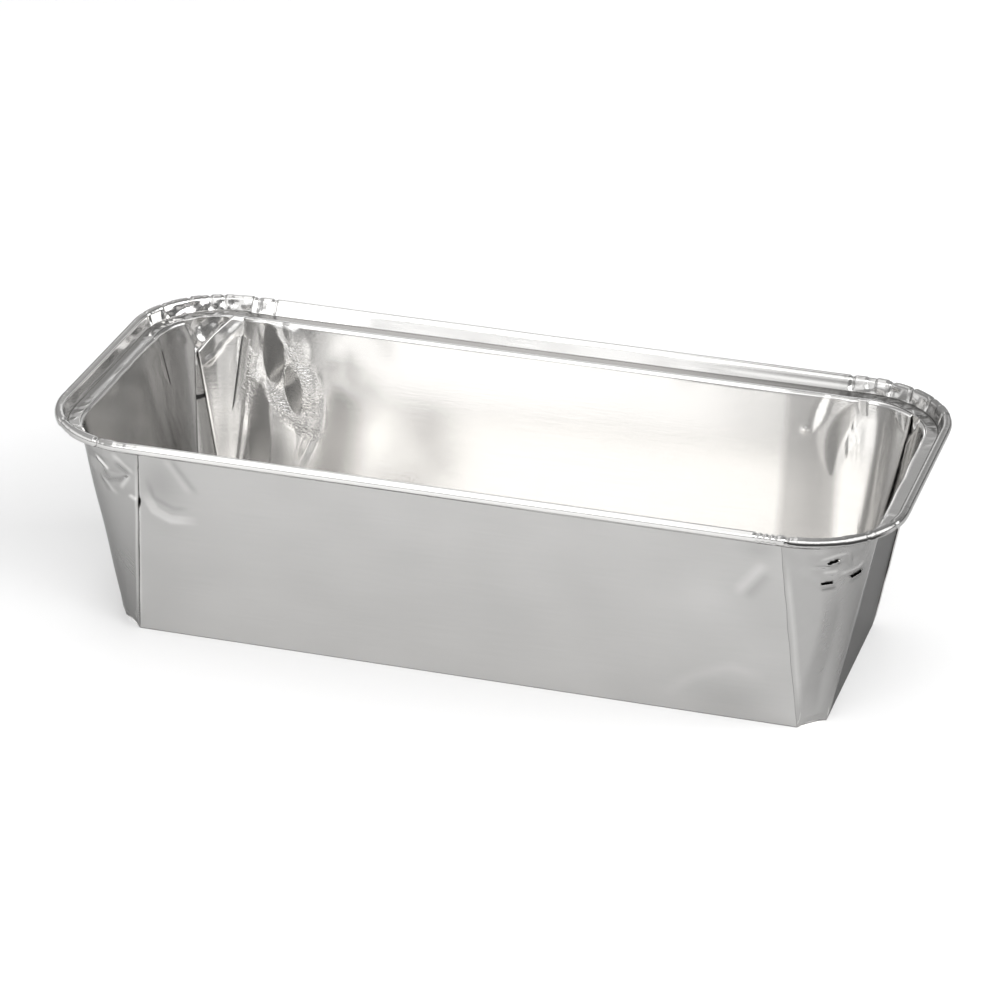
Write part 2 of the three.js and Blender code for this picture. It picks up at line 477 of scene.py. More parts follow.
def wall_sheet(name, node, long, sign, dents, wear_and_shade, drawn):
    foot_half, top_half = (FOOT_X, TOP_X) if long else (FOOT_Y, TOP_Y)
    foot_out, top_out = (BASE_Y, MOUTH_Y) if long else (BASE_X, MOUTH_X)
    slant = math.hypot(LEDGE_Z, top_out - foot_out) / LEDGE_Z
    columns = LONG_COLUMNS if long else END_COLUMNS
    levels = {}

    def place(column, row):
        height, outward = wall_climb(row)
        if row not in levels:
            levels[row] = CornerLevel(height)
        level = levels[row]
        half = foot_half + (top_half - foot_half) * height / LEDGE_Z
        flat_out = foot_out + (top_out - foot_out) * height / LEDGE_Z
        side, share, turn = wall_share(column, columns)
        width = pleat_width(level, height, *drawn[0 if side < 0 else 1])
        along = along_wall(share, half, width) + HEM * math.sin(turn)
        outward += HEM * (1 - math.cos(turn)) * min(1, height / HEM_RISE)
        fade = min(1, height / FOOT_FADE, max(0, LEDGE_Z - height) / TOP_FADE)
        room = FOLD_ROOM + ROOM_SLOPE * max(0, half - along - MM)
        outward += fade * min(room, pushed(dents, side * along, height))

        def lay(off):
            if along < half:
                spot = Vector((along, flat_out + off))
            elif long:
                spot = level.at(along - half, off)
            else:
                spot = level.at(level.length - (along - half), off).yx
            return (side * spot.x, sign * spot.y) if long else (sign * spot.y, side * spot.x)

        outward += mouth_wave(*lay(0)) * max(0, 1 - (LEDGE_Z - height) / WAVE_DEPTH)
        flat = (side * along, foot_out + height * slant)
        wear_and_shade_here = min(1, sum(patch(side * along / MM, height / MM) for patch in wear_and_shade))
        return Vector((*lay(outward), height)), flat if long else (flat[1], flat[0]), wear_and_shade_here

    return foil_sheet(name, columns, WALL_ROWS, place, [node])


# %% [markdown]
# ### The front wall
# The front wall is nearly flat. Its left end is bruised below the rim, and its right end has a soft fold
# and a bulge at the foot. One list pushes the foil. The other dulls and darkens it, partly as wear and
# partly as painted shade: evenly all over, lighter towards the foot, darker at both ends, in the bruise's
# hollow and on the bulges, with dark and light lines of painted shade and highlight along the creases and
# the left fold line, and a little random mottling. A painted texture could do that too, but it would have
# to be unwrapped and kept in a file.

# %% Front wall
front_dents = [
    sway(60, 40, 0.2, 1.3),
    sway(22, 14, 0.05, 5.2),
    hollow((-84, 49), 8, 10, -0.25),
    crease([(-90, 46), (-87.3, 39), (-83.6, 36.9), (-78, 37.6)], 2.6, 0.22),
    crease([(-90, 51.4), (-87.8, 43.5), (-81.6, 40.9), (-75, 41)], 1.8, 0.15),
    crease([(-80, 58.5), (-73, 48.9)], 2.4, 0.2),
    hollow((-91.8, 43.2), 0.9, 1.5, -0.7),
    crease([(84, 51), (77.2, 41)], 2.4, 0.25),
    hollow((84, 56), 4, 4, 0.25),
    hollow((74, 6), 14, 7, 0.4),
]
# Wear, painted shade and painted highlight on the front wall.
front_wear_and_shade = [
    even(0.5),
    hollow((0, 0), 200, 24, -0.07),
    sway(16, 11, 0.035, 4.6),
    hollow((95, 30), 50, 60, 0.1),
    hollow((-84, 50), 6, 9, 0.16),
    hollow((-92, 20), 14, 40, 0.08),
    crease([(-89.5, 47), (-86.5, 41), (-82, 38.8), (-74, 39.2)], 1.8, -0.22, 0.8),
    crease([(-88.4, 52), (-86.5, 45), (-81, 42.4), (-76, 43)], 1.2, 0.14),
    crease([(-81, 59.5), (-73.2, 48)], 1.3, 0.16),
    crease([(-83, 59.5), (-75.5, 47.5)], 1.5, -0.14),
    crease([(86, 53), (77.2, 41)], 2.4, -0.16, 2.2),
    hollow((69, 39), 9, 8, -0.07),
    crease([(87, 50), (80, 40)], 2.5, 0.1),
    crease([(-93.9, 1), (-89.9, 57)], 0.5, -0.3),
    hollow((84, 57), 5, 3, 0.12),
    crease([(56, 4), (66, 12.5), (76, 17), (86, 15)], 2.6, -0.07),
    hollow((76, 8), 12, 5, 0.1),
]
front_drawn = [(52, 5), (52, 5)]
front = wall_sheet("front_wall_foil", "front_wall", True, -1, front_dents, front_wear_and_shade, front_drawn)

# %% [markdown]
# ### The back wall
# Seen through the mouth, the back wall has a nest of leaf buckles at its left end, where it was squeezed,
# and a loop with a crease at its right. Between the leaves the foil sparkles, so the wear-and-shade list
# goes below 0 there. The rest of the list is painted shade: across each leaf, fading from one edge to the
# other, in patches below the leaves, and in a broad band and a narrow strip at the right.

# %% Back wall
back_dents = [
    sway(70, 45, 0.12, 2.6),
    leaf((-87.6, 51), (-90.6, 62), 1.6, 0.22, 1.5),
    leaf((-82.4, 40.5), (-84.6, 64), 3.4, 0.55, 2.2, 0.5),
    leaf((-77.8, 54), (-81, 63), 1.2, 0.22, 1.6),
    leaf((-75, 34), (-77.6, 49.5), 2.8, 0.5, 2.2, -0.2),
    leaf((-85.5, 6), (-86.3, 44.5), 3.4, 0.36, 2.2),
    crease([(-74.2, 18), (-69.2, 30.5), (-68.6, 36), (-70.2, 50)], 2.2, 0.15),
    crease([(-104.5, 46), (-99, 51.5), (-92, 61)], 1.5, -0.2),
    crease([(-101, 44), (-97, 50), (-89, 55)], 2.2, 0.12),
    crumple((-99, 54), 8, 7, 2.8, 0.1, 5.0),
    hollow((85.5, 30), 8, 28, 0.5),
    crease([(92.6, 8), (91.8, 30), (90.5, 60)], 6, -0.4),
    leaf((77.6, 49.3), (81.8, 62.5), 1.5, 0.16, 0.6),
    hollow((75.6, 50), 0.9, 1.0, -0.2),
    leaf((83.8, 37.5), (94, 62.5), 2.6, -0.26, 1.2, -4),
    leaf((89.8, 40), (89, 53.5), 1.1, -0.1, 0.5),
    crease([(99.1, 55.2), (99.8, 52.5), (98.8, 43.5), (98.3, 36.3), (97.5, 26.1)], 0.8, -0.2),
    leaf((105.5, 55), (102.5, 61), 1.2, -0.35, 0.7),
]
# Painted shade on the leaves and at the right, and sparkle between the leaves.
back_wear_and_shade = [
    hollow((-82, 46), 10, 16, -0.2),
    crease([(-91.6, 57), (-91, 48), (-90.4, 42), (-89.6, 35), (-89, 25)], 3.2, -0.9),
    crease([(-86.5, 45), (-80.3, 36.4), (-77, 33.5), (-72, 31), (-65, 28)], 3.6, -0.9),
    crease([(-80, 57), (-76.5, 51), (-73, 46), (-71, 41), (-69.6, 35), (-68.4, 27)], 4, -0.9),
    blade((-88.5, 50.5), (-91.4, 66), 2.8, 0.9, 0, 0.7),
    blade((-82.4, 39.5), (-84.6, 66), 3.7, 0.35, 0.5, 0.5),
    blade((-77.8, 53), (-81, 64), 1.4, 0.9, 0, 0.5),
    blade((-75, 33), (-77.6, 50.5), 3.1, 0.45, -0.2, 0.5),
    blade((-85.5, 5), (-86.2, 45), 3.5, 0.2, 0, 0.4),
    hollow((-84, 23), 10, 8, 0.2),
    hollow((-80, 24), 3.5, 9, 0.45),
    hollow((-90.5, 25), 2, 10, 0.35),
    hollow((-97, 24), 4, 14, 0.5),
    crease([(78.5, -25), (77.5, 90)], 9.5, 0.37, 3),
    hollow((77, 50), 8, 12, 0.12),
    hollow((75.6, 50), 1.1, 1.2, -0.6),
    blade((83.8, 37.5), (94, 62.5), 2.4, 0.22, -4, -0.6),
    hollow((101.5, 42), 5, 40, 0.6),
    blade((77.6, 49.3), (81.8, 62.5), 1.5, -0.45),
]
back_drawn = [(51, 11.5), (58, 0)]
wall_sheet("back_wall_foil", "back_wall", True, 1, back_dents, back_wear_and_shade, back_drawn)

# %% [markdown]
# ### The end walls
# The end walls are short and stiff, so they only bow a little and carry one soft crease each. Both are
# dulled and darkened with painted shade, the right one most of all.

# %% End walls
left_dents = [
    sway(40, 40, 0.15, 4.4),
    crease([(22, 60), (22, 46), (27, 26), (34.7, 0)], 6, 0.15),
    crease([(45, 53), (45.3, 42)], 1.3, -0.35),
    crumple((42, 57), 6, 8, 2.4, 0.3, 2.0),
]
# Painted shade: the left end is darkened evenly, and more towards one corner.
left_wear_and_shade = [even(0.42), hollow((38, 30), 12, 80, 0.25)]
left_drawn = [(52, 4), (53, 2.8)]
wall_sheet("left_end_foil", "left_end_wall", False, -1, left_dents, left_wear_and_shade, left_drawn)
right_dents = [
    sway(40, 40, 0.15, 7.7),
    sway(9, 60, 0.03, 6.9),
    crease([(-20, 60), (-24, 40), (-31, 5)], 6, 0.3),
]
right_drawn = [(52, 4), (52, 4.5)]
# Painted shade: the right end is darkened in full.
right_end = wall_sheet("right_end_foil", "right_end_wall", False, 1, right_dents, [even(1)], right_drawn)

# %% [markdown]
# ## The box pleats
# Outside, each corner is one ply that wraps round from wall to wall. Both its edges are folded under, flat
# against the inner plies. It was pushed furthest of all, so it has fine wrinkles and is badly crumpled
# below the rim, and it is dulled and darkened, partly as wear and partly as painted shade. A plain bevel
# would give a clean corner, but not the folded edges that make a pleat. The dents are given by the
# distance round the corner and the height.

# %% Across a corner sheet
EDGE_OFF, MIDDLE_OFF, OFF_RAMP = 0.5 * MM, 1.05 * MM, 4 * MM
FOLD = 0.18 * MM
TUCK, TUCK_LEAST, TUCK_START = 3 * MM, 0.4 * MM, 1.5 * MM
TUCK_COLUMNS, FOLD_COLUMNS = 4, 6
FOLDED_COLUMNS = TUCK_COLUMNS + FOLD_COLUMNS
CORNER_COLUMNS, CORNER_ROWS = 120, 220


def folded(near, level, height):
    """Distance from the corner's nearer edge, and how far the ply stands off the wall, at a column."""
    if near < TUCK_COLUMNS:
        tuck = min(TUCK, max(TUCK_LEAST, PLEAT_TAPER * height - TUCK_START))
        return FOLD + (tuck - FOLD) * (1 - near / TUCK_COLUMNS), EDGE_OFF - 2 * FOLD
    if near < FOLDED_COLUMNS:
        turn = math.pi * (near - TUCK_COLUMNS) / FOLD_COLUMNS
        return FOLD * (1 - math.sin(turn)), EDGE_OFF - FOLD - FOLD * math.cos(turn)
    share = (near - FOLDED_COLUMNS) / (CORNER_COLUMNS / 2 - FOLDED_COLUMNS)
    distance = FOLD + (level.length / 2 - FOLD) * share
    return distance, EDGE_OFF + (MIDDLE_OFF - EDGE_OFF) * min(1, (distance - FOLD) / OFF_RAMP)


edge = folded(FOLDED_COLUMNS, CornerLevel(half_way), half_way)
print("past its fold a corner's ply stands", round(edge[1] / MM, 2), "mm off the wall")

# %% [markdown]
# ### Laying a corner
# The outer ply starts at the fold on the base and parts from the inner ply within a few millimetres. A
# dent that pushes inward is held back, so that one ply never goes through the other. The foot arches up
# in the middle of the corner.

# %% Laying a corner sheet
WANDER, WANDER_SKEW, WANDER_LENGTH = 0.2 * MM, 0.1 * MM, 6 * MM
WANDER_REACH, WANDER_FOOT = 5 * MM, 9 * MM
PART_HEIGHT, DENT_HEIGHT = 3 * MM, 5 * MM
CLEAR = 0.85
ARCH, ARCH_HEIGHT = 0.9 * MM, 8 * MM
MOST_WEAR_AND_SHADE = 1.35
DIAGONAL = 0.7


def corner_sheet(name, corner, x_sign, y_sign, dents, wear_and_shade, longest=None):
    levels = {}
    corner_seed = 3.7 * x_sign + 1.9 * y_sign

    def place(column, row):
        height = LEDGE_Z * row / CORNER_ROWS
        if row not in levels:
            levels[row] = CornerLevel(height)
        level = levels[row]
        near = min(column, CORNER_COLUMNS - column)
        distance, outward = folded(near, level, height)
        wander = noise.noise(Vector((height / WANDER_LENGTH, corner_seed, 2.0)))
        wander *= max(0, 1 - distance / WANDER_REACH) * min(1, height / WANDER_FOOT)
        distance += (WANDER + WANDER_SKEW * x_sign) * wander
        held = min(1, max(0, distance - FOLD) / OFF_RAMP) if near > FOLDED_COLUMNS else 0
        if column > CORNER_COLUMNS / 2:
            distance = level.length - distance
        push = min(1, height / DENT_HEIGHT) * pushed(dents, distance, height)
        outward += push if push > 0 else max(push * held, -CLEAR * outward)
        spot = level.at(distance, outward * min(1, height / PART_HEIGHT))
        arch = math.sin(math.pi * min(max(distance / level.length, 0), 1))
        lift = ARCH * arch * max(0, 1 - height / ARCH_HEIGHT)
        flat = (DIAGONAL * distance + DIAGONAL * height, DIAGONAL * height - DIAGONAL * distance)
        # Wear and painted shade, allowed a little above 1 so that the darkest lines come out nearly black.
        wear_and_shade_here = min(MOST_WEAR_AND_SHADE, sum(patch(distance / MM, height / MM) for patch in wear_and_shade))
        return Vector((x_sign * spot.x, y_sign * spot.y, height + lift)), flat, wear_and_shade_here

    nodes = [f"{corner}_corner_panel", f"{corner}_long_pleat", f"{corner}_end_pleat"]
    foil_sheet(name, CORNER_COLUMNS, CORNER_ROWS, place, nodes, longest=longest)


# %% [markdown]
# ### The front corners
# Both front corners are creased below the rim, where the foil was gathered. The right one has split three
# times, so its longest faces are taken out. Their colour is darkened evenly and in patches, with dark and
# light lines along the creases, the fold lines and the slits, partly as wear and partly as painted shade
# and highlight.

# %% Front corners
front_left_dents = [
    sway(14, 20, 0.3, 2.2),
    crumple((8, 56), 15, 12, 3.4, 0.55, 1.0),
    crease([(6.2, 57.6), (1.3, 52.8)], 1.8, -0.4),
    crease([(11.3, 50.1), (6.6, 45)], 2.4, 0.5),
    crease([(2.5, 51.6), (4.4, 47.7)], 1.6, 0.4),
    crease([(13.5, 54.9), (8.5, 52.8)], 1.0, 0.4),
    hollow((0.5, 43), 1.4, 2, 0.35),
]
# Painted shade and highlight on the front left corner.
front_left_wear_and_shade = [
    even(0.66),
    hollow((6, 8), 20, 28, 0.26),
    crease([(14, 55.4), (8, 52.6)], 0.9, -1.6),
    crease([(7.5, 58.5), (0.6, 52)], 1.0, -0.3),
    crease([(6.5, 56), (1.5, 51)], 1.2, 0.2),
    crease([(12.5, 51), (5.5, 44.5)], 1.2, -0.3),
    crease([(10.5, 53), (8, 49.5), (3, 50.5)], 1.4, 0.22),
    crease([(2, 52.5), (4.6, 47)], 0.9, -0.3),
    crease([(0.2, 44), (2.5, 45.5)], 0.9, -0.5),
    crease([(0.4, 2), (0.4, 58)], 0.5, -0.4),
]
corner_sheet("front_left_corner_foil", "front_left", -1, -1, front_left_dents, front_left_wear_and_shade)
RIP = 0.58 * MM
front_right_dents = [
    sway(14, 20, 0.3, 6.2),
    crumple((15, 55), 13, 9, 3.0, 0.45, 4.0),
    crease([(9, 46), (8.2, 35.7), (5.8, 25.8), (3.2, 15.9), (0.9, 4)], 4, 0.9),
    slit((10.8, 54), (16, 54.9), 2.2, 0.7),
    slit((8.6, 47.7), (13.4, 48), 2.2, 0.7),
    slit((16.5, 48), (22.4, 49.8), 2.2, 0.7),
    crease([(7.2, 53.4), (13, 53.1)], 0.8, -0.35),
    crease([(17.6, 57.6), (17.8, 52.2)], 1.0, 0.5),
    crease([(11, 50.7), (13.4, 50.4)], 0.8, -0.2),
    crease([(0.6, 57), (1.4, 50), (0.4, 44), (1, 38)], 1.6, 0.35),
]
# Painted shade and highlight on the front right corner.
front_right_wear_and_shade = [
    even(0.7),
    hollow((20, 25), 9, 60, 0.26),
    crease([(12.5, 46), (11, 35.7), (8.3, 25.8), (5.2, 15.9), (2.4, 2)], 3.2, 0.1, 1.6),
    crease([(0.8, 5), (1.4, 30), (1.2, 56)], 1.2, -0.2),
    crease([(9.5, 55.5), (17.5, 57)], 0.7, -0.3),
    crease([(10, 51.5), (14.5, 51.2)], 0.7, -0.3),
    crease([(14.5, 50), (23, 52)], 0.8, -0.3),
    crease([(9, 46), (13.6, 46.2)], 0.9, 0.25),
]
corner_sheet("front_right_corner_foil", "front_right", 1, -1, front_right_dents, front_right_wear_and_shade, RIP)

# %% [markdown]
# ### The back corners
# Of the back corners only the inside shows, in the slit between the inner plies. A crumple below the rim
# is enough. Both are darkened evenly, and the left one has a short dark line of painted shade.

# %% Back corners
back_left_dents = [sway(14, 20, 0.3, 8.2), crumple((11, 57), 13, 11, 2.4, 0.3, 7.0)]
# Painted shade: an even darkening and a short dark line.
back_left_wear_and_shade = [even(0.3), crease([(9.6, 38), (12.8, 37.4), (16, 38)], 0.9, 3)]
corner_sheet("back_left_corner_foil", "back_left", -1, 1, back_left_dents, back_left_wear_and_shade)
back_right_dents = [sway(14, 20, 0.3, 3.2), crumple((22, 54), 14, 14, 2.6, 0.6, 9.0)]
corner_sheet("back_right_corner_foil", "back_right", 1, 1, back_right_dents, [even(0.3)])

# %% [markdown]
# ## The rim's path
# The rim follows one closed path: two long runs, two short ones and four quarter turns. At each station
# of that path it has the same section, a flat ledge and then an upstand that curls over into a bead. A
# curve with a bevel object could sweep that section, but it couldn't change it from place to place. So
# the stations are listed, each with the way that points outward there.

# %% Stations round the rim
BEAD = 1.39 * MM
BEAD_OUT = LEDGE_WIDTH + 1.85 * MM
BEAD_UP = cad_high.z - BEAD
FINE, CROWDED = 0.4 * MM, 14 * MM
TURN_STEPS = 100


def run_steps(half):
    """Places along a straight run, closer together near its ends."""
    places = [-half]
    while places[-1] < half:
        left = half - abs(places[-1])
        places.append(places[-1] + (FINE if left < CROWDED else 3 * FINE))
    return places[:-1]


def rim_stations():
    turns = [math.pi / 2 * i / TURN_STEPS for i in range(TURN_STEPS)]
    stations = []
    for x in run_steps(RIM_X):
        stations.append((Vector((x, MOUTH_Y)), Vector((0, 1)), "back", x))
    for turn in turns:
        arm = Vector((math.sin(turn), math.cos(turn)))
        stations.append((Vector((RIM_X, RIM_Y)), arm, "back_right", turn))
    for y in run_steps(RIM_Y):
        stations.append((Vector((MOUTH_X, -y)), Vector((1, 0)), "right", -y))
    for turn in turns:
        arm = Vector((math.cos(turn), -math.sin(turn)))
        stations.append((Vector((RIM_X, -RIM_Y)), arm, "front_right", math.pi / 2 - turn))
    for x in run_steps(RIM_X):
        stations.append((Vector((-x, -MOUTH_Y)), Vector((0, -1)), "front", -x))
    for turn in turns:
        arm = Vector((-math.sin(turn), -math.cos(turn)))
        stations.append((Vector((-RIM_X, -RIM_Y)), arm, "front_left", turn))
    for y in run_steps(RIM_Y):
        stations.append((Vector((-MOUTH_X, y)), Vector((-1, 0)), "left", y))
    for turn in turns:
        arm = Vector((-math.cos(turn), math.sin(turn)))
        stations.append((Vector((-RIM_X, RIM_Y)), arm, "back_left", math.pi / 2 - turn))
    stations.append(stations[0])
    return [
        (centre + arm * MOUTH_CORNER if "_" in part else centre, arm, part, place)
        for centre, arm, part, place in stations
    ]


stations = rim_stations()
reach = [0]
for (before, arm_before, *_), (after, arm_after, *_) in zip(stations, stations[1:]):
    reach.append(reach[-1] + (after + arm_after * BEAD_OUT - before - arm_before * BEAD_OUT).length)
print(len(stations), "stations,", round(reach[-1] / MM), "mm round the bead")

# %% [markdown]
# ### Nicks and gathers
# In the turns the foil has nowhere to go, so it gathers: the ledge crumples, and the bead is nicked where
# the press crimped it. A nick is given by its run or turn and its place there.

# %% Nicks in the bead
NICK_HALF = 0.6 * MM
nick_places = [
    ("front_left", math.radians(51.5)), ("front_left", math.radians(16)),
    ("back_left", math.radians(61.5)), ("back_left", math.radians(41)), ("back_left", math.radians(28)),
    ("back_left", math.radians(18.5)), ("back", -90.5 * MM), ("back", -85 * MM),
    ("back", 87 * MM), ("back_right", math.radians(14.5)), ("back_right", math.radians(29)),
    ("back_right", math.radians(46.5)), ("front", 84.8 * MM), ("front", 86.4 * MM), ("front", 88 * MM),
    ("front", 89.6 * MM), ("front_right", math.radians(1.5)), ("front_right", math.radians(49)),
    ("back_left", math.radians(78)), ("back_right", math.radians(70)), ("front_right", math.radians(72)),
]


def nick_reach(part, place):
    near = [(abs(station[3] - place), at) for station, at in zip(stations, reach) if station[2] == part]
    return min(near)[1]


nicks = [nick_reach(part, place) for part, place in nick_places]


def nicked(at):
    """How deep the bead is pinched at a place along the rim, from 0 to 1."""
    nearest = min(abs(at - nick) for nick in nicks) / NICK_HALF
    return max(0, 1 - nearest * nearest)


END_GATHER, GATHER_REACH = 0.25, 9 * MM
FALL_FROM, FALL_OVER = 45, 30


def gathered(part, place):
    """How much the foil is gathered: most near the long sides' ends of a turn, and a little before it."""
    if "_" in part:
        return 1 - (1 - END_GATHER) * min(1, max(0, (math.degrees(place) - FALL_FROM) / FALL_OVER))
    half, most = (RIM_X, 1) if part in ("front", "back") else (RIM_Y, END_GATHER)
    return most * max(0, 1 - (half - abs(place)) / GATHER_REACH)


pinches = [nicked(at) for at in reach]
gathers = [gathered(part, place) for _, _, part, place in stations]
crumpled = crumple((0, 0), 1e6, 1e6, 2.4, 1, 3.0)
print(len(nicks), "nicks, and", sum(gather > 0 for gather in gathers), "stations with gathered foil")

# %% [markdown]
# ### The rim's lean
# The upstand leans outward, and never quite evenly. A leaning upstand stands a little further in on the
# ledge, so that it still runs on smoothly into the bead.

# %% The rim's lean
LEAN, LEAN_DRIFT, DRIFT_LENGTH = 17, 3, 30 * MM
BACK_LEAN, BACK_LEAN_FALL = 5, 3


def lean(part, place, at):
    """The upstand's lean, which drifts along the rim and is greatest at the back's left end."""
    drift = noise.noise(Vector((at / DRIFT_LENGTH, 1.1, 4.2)))
    extra = BACK_LEAN - BACK_LEAN_FALL * place / RIM_X if part == "back" else 0
    return math.radians(LEAN + LEAN_DRIFT * drift + extra)


def upstand_foot(tilt):
    """Where an upstand that leans this much, and runs on into the bead, stands on the ledge."""
    rise = BEAD_UP + BEAD * math.sin(tilt) - LEDGE_Z
    return BEAD_OUT - BEAD * math.cos(tilt) - rise * math.tan(tilt)


tilts = [lean(part, place, at) for (_, _, part, place), at in zip(stations, reach)]
tilts[-1] = tilts[0]
print("the upstand leans", [round(math.degrees(tilt)) for tilt in (min(tilts), max(tilts))], "degrees")

# %% [markdown]
# ### The ledge
# The ledge is the flat step below the rim, where a lid would lie. It runs from the mouth's wavy edge to
# the foot of the upstand, and crumples where the foil is gathered. A flat ring would look like sheet
# steel.

# %% Ledge
LEDGE_ROWS = 10
LEDGE_START, LEDGE_TUCK = 0.75 * MM, 0.05 * MM
LEDGE_CRUMPLE, LEDGE_SWAY, LEDGE_PINCH = 0.45, 0.12, 0.15
SWAY_LENGTH = 14 * MM
GATHER_WORN, RIGHT_SIDE_SHADE, BACK_LEDGE_SHADE = 0.2, 0.3, 0.5
END_RAMP, BACK_RAMP = 20 * MM, 10 * MM


def rim_wear_and_shade(spot, gather, ends, back):
    """Gathered foil is duller from wear. The right side is darkened as painted shade, and the ends and the
    back can be darkened further as painted shade.
    """
    past = min(1, max(0, abs(spot.x) - RIM_X) / END_RAMP)
    behind = min(1, max(0, spot.y - RIM_Y) / BACK_RAMP) * (1 - past)
    right = max(0, spot.x / MOUTH_X) ** 2
    return GATHER_WORN * gather + RIGHT_SIDE_SHADE * right + ends * past + back * behind


def ledge_place(column, row):
    centre, arm, part, place = stations[column]
    inner_edge = LEDGE_START + mouth_wave(centre.x, centre.y)
    outer_edge = upstand_foot(tilts[column]) + LEDGE_TUCK
    spot = centre + arm * (inner_edge + (outer_edge - inner_edge) * row / LEDGE_ROWS)
    inner = min(1, 2 - 2 * abs(2 * row / LEDGE_ROWS - 1))
    rough = LEDGE_CRUMPLE * crumpled(spot.x / MM, spot.y / MM) * gathers[column]
    soft = LEDGE_SWAY * noise.noise(Vector((spot.x / SWAY_LENGTH, spot.y / SWAY_LENGTH, 2.5)))
    lift = MM * inner * (rough + soft - LEDGE_PINCH * pinches[column])
    # Painted shade: the ledge is darker on its right side and along the back.
    wear_and_shade_here = rim_wear_and_shade(spot, gathers[column], 0, BACK_LEDGE_SHADE)
    return Vector((spot.x, spot.y, LEDGE_Z + FOIL + lift)), spot, wear_and_shade_here


ledge_nodes = [f"{side}_ledge" for side in ("front", "back", "left", "right")]
ledge_nodes += [f"{y}_{x}_ledge_corner" for y in ("front", "back") for x in ("left", "right")]
foil_sheet("ledge_foil", len(stations) - 1, LEDGE_ROWS, ledge_place, ledge_nodes, closed=True)

# %% [markdown]
# ### Painted shade lines
# Dark lines of painted shade, standing in for dark reflections, run along the rim in two places: on the
# right half of the back and on the bead of the front right turn. A line is given by its row in the curl's
# sheet, counted up the upstand and round the bead. Thin strips of another finish would show their edges.

# %% Painted shade lines on the curl
BACK_SHADE_LINES = {1: 0.4, 2: 0.3, 5: 0.5, 6: 0.7, 7: 0.4, 12: 1}
BACK_SHADE_LINES_FROM, BACK_SHADE_LINES_FULL, BACK_SHADE_LINES_FADE = 25 * MM, 70 * MM, 8 * MM
FRONT_SHADE_LINE, FRONT_SHADE_LINE_END = (23, 24, 25), math.radians(65)


def painted_shade_lines(part, place, row):
    """How much painted shade a row of the curl takes at a place along the rim."""
    if part == "back":
        begun = (place - BACK_SHADE_LINES_FROM) / (BACK_SHADE_LINES_FULL - BACK_SHADE_LINES_FROM)
        return BACK_SHADE_LINES.get(row, 0) * max(0, min(1, begun, (RIM_X - place) / BACK_SHADE_LINES_FADE))
    if part == "front_right" and row in FRONT_SHADE_LINE:
        return max(0, min(1, 4 - 4 * place / FRONT_SHADE_LINE_END))
    return 0


# The worn lines counted here are lines of painted shade.
print(len(BACK_SHADE_LINES), "worn lines at the back,", len(FRONT_SHADE_LINE), "rows of one at the front")

# %% [markdown]
# ### The curl
# The upstand rises from the ledge and rolls over into a bead, which hides the raw edge and stiffens the
# tray. A round tube would give the outline, but not the open roll, its nicks and its facets. So rows of
# the sheet climb the upstand and then go round the bead.

# %% Curl
UPSTAND_ROWS, CURL_ROWS, CURL_SWEEP = 8, 28, math.radians(305)
NICK_DEPTH, FACET_DEPTH, FACET_LENGTH = 0.42 * MM, 0.14 * MM, 3.1 * MM
UPSTAND_CRUMPLE, UPSTAND_PINCH = 0.25 * MM, 0.2 * MM
SLUMP_IN, SLUMP_DOWN, SLUMP_LENGTH = 0.12 * MM, 0.1 * MM, 35 * MM
CURL_WIDTH = 10 * MM
BEAD_ENDS_SHADE = 0.3


def curl_place(column, row):
    centre, arm, part, place = stations[column]
    at, pinch, gather, tilt = reach[column], pinches[column], gathers[column], tilts[column]
    facets = noise.cell(Vector((at / FACET_LENGTH, 0.5, 1.7))) * gather
    radius = BEAD - NICK_DEPTH * pinch - FACET_DEPTH * facets
    if row < UPSTAND_ROWS:
        share = row / UPSTAND_ROWS
        foot = upstand_foot(tilt)
        out = foot + share * (BEAD_OUT - radius * math.cos(tilt) - foot)
        up = LEDGE_Z + FOIL + share * (BEAD_UP + radius * math.sin(tilt) - LEDGE_Z - FOIL)
        rough = UPSTAND_CRUMPLE * crumpled(at / MM, up / MM) * gather + UPSTAND_PINCH * pinch
        out += math.sin(math.pi * share) * rough
    else:
        turn = math.pi - tilt - (CURL_SWEEP - tilt) * (row - UPSTAND_ROWS) / CURL_ROWS
        out = BEAD_OUT + radius * math.cos(turn)
        up = BEAD_UP + radius * math.sin(turn)
    slump = 1 + noise.noise(Vector((at / SLUMP_LENGTH, 0.4, 7.3)))
    slump *= (up - LEDGE_Z) / (cad_high.z - LEDGE_Z)
    spot = centre + arm * (out - SLUMP_IN * slump)
    flat = centre + arm * (LEDGE_WIDTH + row / (UPSTAND_ROWS + CURL_ROWS) * CURL_WIDTH)
    # Painted shade: the bead is darker on the short ends and on the right, and along the painted lines.
    wear_and_shade_here = rim_wear_and_shade(spot, gather, BEAD_ENDS_SHADE if row > UPSTAND_ROWS else 0, 0) + painted_shade_lines(part, place, row)
    return Vector((spot.x, spot.y, up - SLUMP_DOWN * slump)), flat, min(MOST_WEAR_AND_SHADE, wear_and_shade_here)


curl_nodes = [f"{side}_curl" for side in ("front", "back", "left", "right")]
curl_nodes += [f"{y}_{x}_curl_corner" for y in ("front", "back") for x in ("left", "right")]
foil_sheet("curl_foil", len(stations) - 1, UPSTAND_ROWS + CURL_ROWS, curl_place, curl_nodes, closed=True)

# %% [markdown]
# ## Shader maths
# A small class wraps a socket, so that shader maths reads as plain Python, and one method adds any other
# node.


